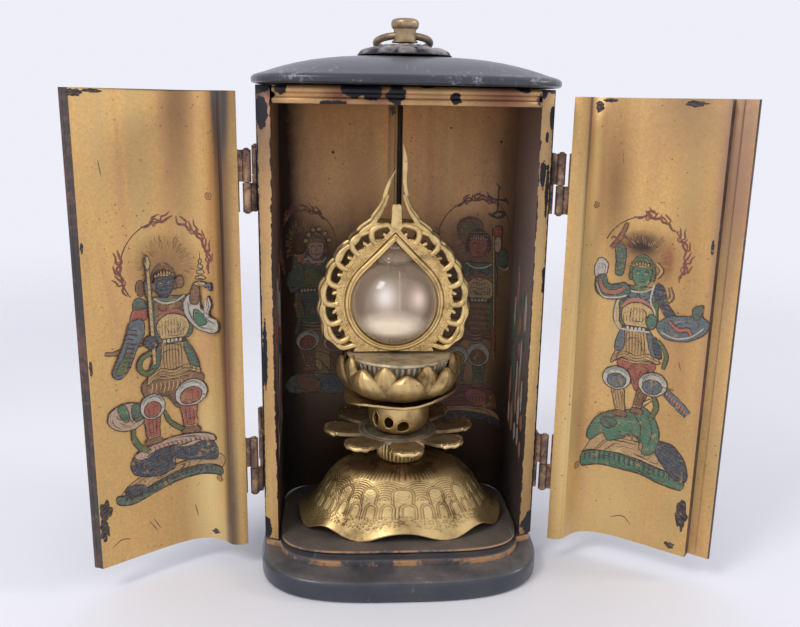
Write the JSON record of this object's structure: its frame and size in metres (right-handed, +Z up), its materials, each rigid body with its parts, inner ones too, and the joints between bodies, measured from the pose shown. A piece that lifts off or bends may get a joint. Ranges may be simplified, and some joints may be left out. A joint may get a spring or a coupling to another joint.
{
  "type": "portable buddhist shrine",
  "caption": "Rounded lacquered cabinet with front and back pairs of curved hinged doors, a domed roof with a carrying ring, and a lotus reliquary with a crystal jewel inside.",
  "frame": {"origin": "on the underside of the base, at its centre", "axes": "+Z up, -Y towards the viewer who faces the open front doors, +X to that viewer's right"},
  "size_m": [0.1762, 0.0696, 0.1578],
  "materials": {
    "gilt_door": "aged gold lacquer inside with painted guardian figures, worn black lacquer on edges and outside",
    "gilt_panel": "aged gold lacquer on the ends and inside, black lacquer outside",
    "gilt_moulding": "aged gold lacquer, chipped to black",
    "floor_lacquer": "dusty brown-grey lacquer",
    "base_lacquer": "black lacquer, dusty ledge, gold remains on the step",
    "roof_lacquer": "black lacquer, worn and scratched",
    "hinge_copper": "dark patinated copper with worn gilding",
    "rosette_metal": "tarnished, worn silvering",
    "finial_copper": "patinated gilt copper",
    "pod_metal": "worn gilding with grey patina",
    "gilt_brass": "worn mercury gilding, hammered and engraved",
    "rock_crystal": "polished clear crystal"
  },
  "bodies": {
    "cabinet": {"base": "base_lacquer", "ceiling_moulding": "gilt_moulding", "crystal_cap": "rock_crystal", "crystal_jewel": "rock_crystal", "finial_rosette": "rosette_metal", "finial_stud": "finial_copper", "flame_plate_back": "gilt_brass", "flame_plate_front": "gilt_brass", "flame_tab": "gilt_brass", "floor_board": "floor_lacquer", "hinge_back_left_lower_panel_leaf": "hinge_copper", "hinge_back_left_lower_pin": "hinge_copper", "hinge_back_left_upper_panel_leaf": "hinge_copper", "hinge_back_left_upper_pin": "hinge_copper", "hinge_back_right_lower_panel_leaf": "hinge_copper", "hinge_back_right_lower_pin": "hinge_copper", "hinge_back_right_upper_panel_leaf": "hinge_copper", "hinge_back_right_upper_pin": "hinge_copper", "hinge_front_left_lower_panel_leaf": "hinge_copper", "hinge_front_left_lower_pin": "hinge_copper", "hinge_front_left_upper_panel_leaf": "hinge_copper", "hinge_front_left_upper_pin": "hinge_copper", "hinge_front_right_lower_panel_leaf": "hinge_copper", "hinge_front_right_lower_pin": "hinge_copper", "hinge_front_right_upper_panel_leaf": "hinge_copper", "hinge_front_right_upper_pin": "hinge_copper", "jewel_bezel": "gilt_brass", "leaf_cup": "gilt_brass", "leaf_foot": "gilt_brass", "lotus_cup": "gilt_brass", "petal_disc": "gilt_brass", "pierced_bowl": "gilt_brass", "ribbed_collar": "gilt_brass", "roof": "roof_lacquer", "seed_pod": "pod_metal", "side_panel_left": "gilt_panel", "side_panel_right": "gilt_panel"},
    "front_left_door": {"door_front_left": "gilt_door", "hinge_front_left_lower_door_leaf": "hinge_copper", "hinge_front_left_upper_door_leaf": "hinge_copper"},
    "front_right_door": {"door_front_right": "gilt_door", "hinge_front_right_lower_door_leaf": "hinge_copper", "hinge_front_right_upper_door_leaf": "hinge_copper"},
    "back_left_door": {"door_back_left": "gilt_door", "hinge_back_left_lower_door_leaf": "hinge_copper", "hinge_back_left_upper_door_leaf": "hinge_copper"},
    "back_right_door": {"door_back_right": "gilt_door", "hinge_back_right_lower_door_leaf": "hinge_copper", "hinge_back_right_upper_door_leaf": "hinge_copper"},
    "carrying_ring": {"finial_ring": "finial_copper"}
  },
  "joints": [
    {"name": "front_left_hinge", "type": "hinge", "parent": "cabinet", "child": "front_left_door", "pos_m": [-0.0427, -0.0124, 0.073], "axis": [0, 0, -1], "range_deg": [-142, 18]},
    {"name": "front_right_hinge", "type": "hinge", "parent": "cabinet", "child": "front_right_door", "pos_m": [0.0427, -0.0124, 0.073], "axis": [0, 0, 1], "range_deg": [-141, 19]},
    {"name": "back_left_hinge", "type": "hinge", "parent": "cabinet", "child": "back_left_door", "pos_m": [-0.0427, 0.0124, 0.073], "axis": [0, 0, 1], "range_deg": [0, 150]},
    {"name": "back_right_hinge", "type": "hinge", "parent": "cabinet", "child": "back_right_door", "pos_m": [0.0427, 0.0124, 0.073], "axis": [0, 0, -1], "range_deg": [0, 150]},
    {"name": "ring_swing", "type": "hinge", "parent": "cabinet", "child": "carrying_ring", "pos_m": [0, 0, 0.1532], "axis": [1, 0, 0], "range_deg": [0, 156]}
  ],
  "couplings": [
    {"joint": "back_right_hinge", "follows": "back_left_hinge", "ratio": 1}
  ]
}
